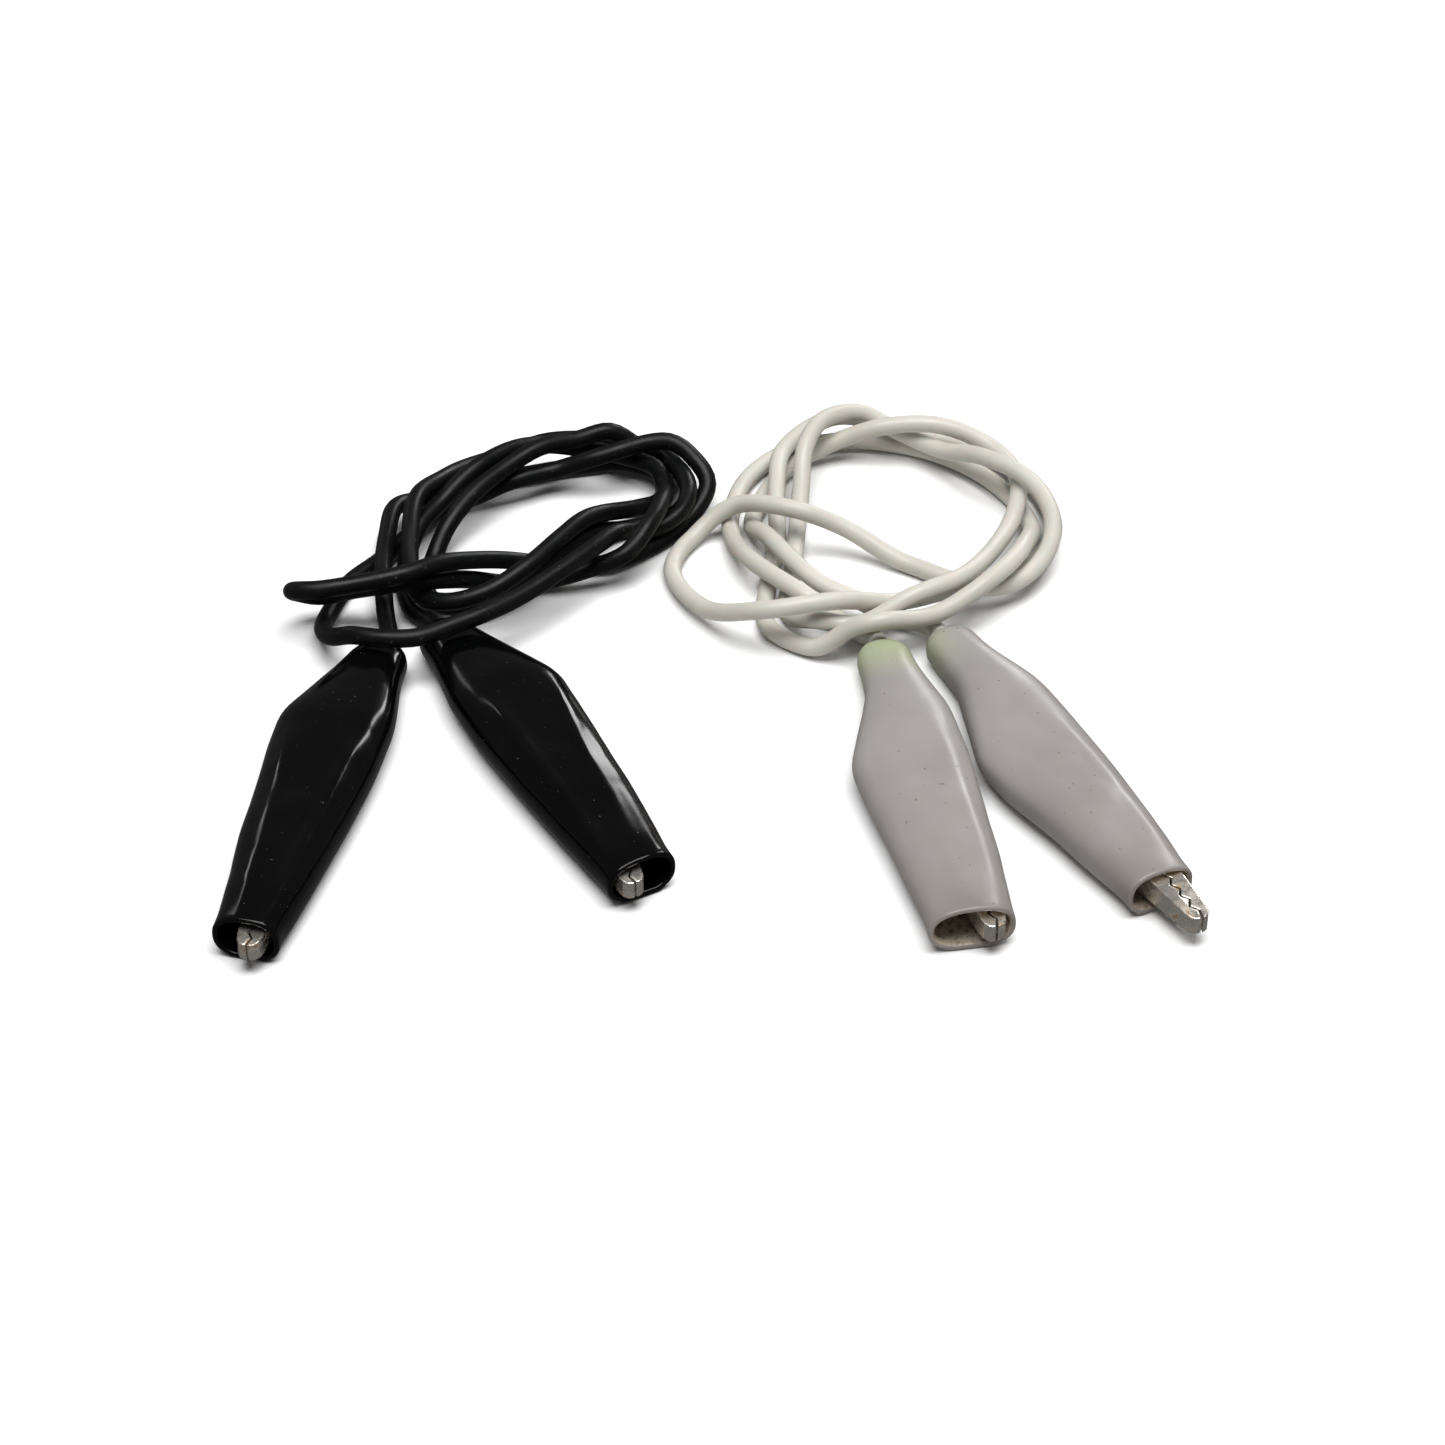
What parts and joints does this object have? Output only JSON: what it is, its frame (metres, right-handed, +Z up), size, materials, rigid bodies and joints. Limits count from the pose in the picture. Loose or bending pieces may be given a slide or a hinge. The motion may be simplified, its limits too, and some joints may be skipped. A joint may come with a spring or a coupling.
{
  "type": "alligator clip lead pair",
  "caption": "Black and white test leads, each a thin coiled cable with a booted spring alligator clip at both ends.",
  "frame": {"origin": "centre of the plan outline of the four boots and clips, on the plane that they rest on; the cables are left out of it", "axes": "+X from the black lead to the white lead; +Y from the clips to the coiled cables; +Z up, along the rivets"},
  "size_m": [0.0888, 0.0832, 0.0079],
  "materials": {
    "black_jacket": "satin black PVC with a little dust",
    "white_jacket": "satin warm white PVC",
    "copper": "bare copper strands",
    "nickel_steel": "nickel plate, a little stained",
    "spring_steel": "bright drawn wire",
    "solder": "dull solder",
    "black_vinyl": "glossy soft vinyl",
    "white_vinyl": "translucent satin soft vinyl"
  },
  "bodies": {
    "black_lead": {"black_cable_jacket": "black_jacket", "black_cable_wire": "copper", "black_left_fixed_jaw": "nickel_steel", "black_left_rivet": "nickel_steel", "black_left_spring": "spring_steel", "black_left_solder": "solder", "black_left_boot": "black_vinyl", "black_right_fixed_jaw": "nickel_steel", "black_right_rivet": "nickel_steel", "black_right_spring": "spring_steel", "black_right_solder": "solder", "black_right_boot": "black_vinyl"},
    "white_lead": {"white_cable_jacket": "white_jacket", "white_cable_wire": "copper", "white_left_fixed_jaw": "nickel_steel", "white_left_rivet": "nickel_steel", "white_left_spring": "spring_steel", "white_left_solder": "solder", "white_left_boot": "white_vinyl", "white_right_fixed_jaw": "nickel_steel", "white_right_rivet": "nickel_steel", "white_right_spring": "spring_steel", "white_right_solder": "solder", "white_right_boot": "white_vinyl"},
    "black_left_jaw": {"black_left_moving_jaw": "nickel_steel"},
    "black_right_jaw": {"black_right_moving_jaw": "nickel_steel"},
    "white_left_jaw": {"white_left_moving_jaw": "nickel_steel"},
    "white_right_jaw": {"white_right_moving_jaw": "nickel_steel"}
  },
  "joints": [
    {"name": "white_lead_apart", "type": "slide", "parent": "black_lead", "child": "white_lead", "axis": [1, 0, 0], "range_m": [0, 0.02]},
    {"name": "black_left_jaw_opens", "type": "hinge", "parent": "black_lead", "child": "black_left_jaw", "pos_m": [-0.03674, -0.00716, 0.0026], "axis": [0, 0, -1], "range_deg": [0, 9], "stiffness_Nm_per_rad": 0.067, "springref_deg": -17.19, "deforming": ["black_left_spring"]},
    {"name": "black_right_jaw_opens", "type": "hinge", "parent": "black_lead", "child": "black_right_jaw", "pos_m": [-0.01313, -0.00019, 0.0026], "axis": [0, 0, 1], "range_deg": [0, 9], "stiffness_Nm_per_rad": 0.067, "springref_deg": -17.19, "deforming": ["black_right_spring"]},
    {"name": "white_left_jaw_opens", "type": "hinge", "parent": "white_lead", "child": "white_left_jaw", "pos_m": [0.02125, -0.00501, 0.0026], "axis": [0, 0, -1], "range_deg": [0, 9], "stiffness_Nm_per_rad": 0.067, "springref_deg": -17.19, "deforming": ["white_left_spring"]},
    {"name": "white_right_jaw_opens", "type": "hinge", "parent": "white_lead", "child": "white_right_jaw", "pos_m": [0.03576, -0.00533, 0.0026], "axis": [0, 0, -1], "range_deg": [0, 9], "stiffness_Nm_per_rad": 0.067, "springref_deg": -17.19, "deforming": ["white_right_spring"]}
  ]
}
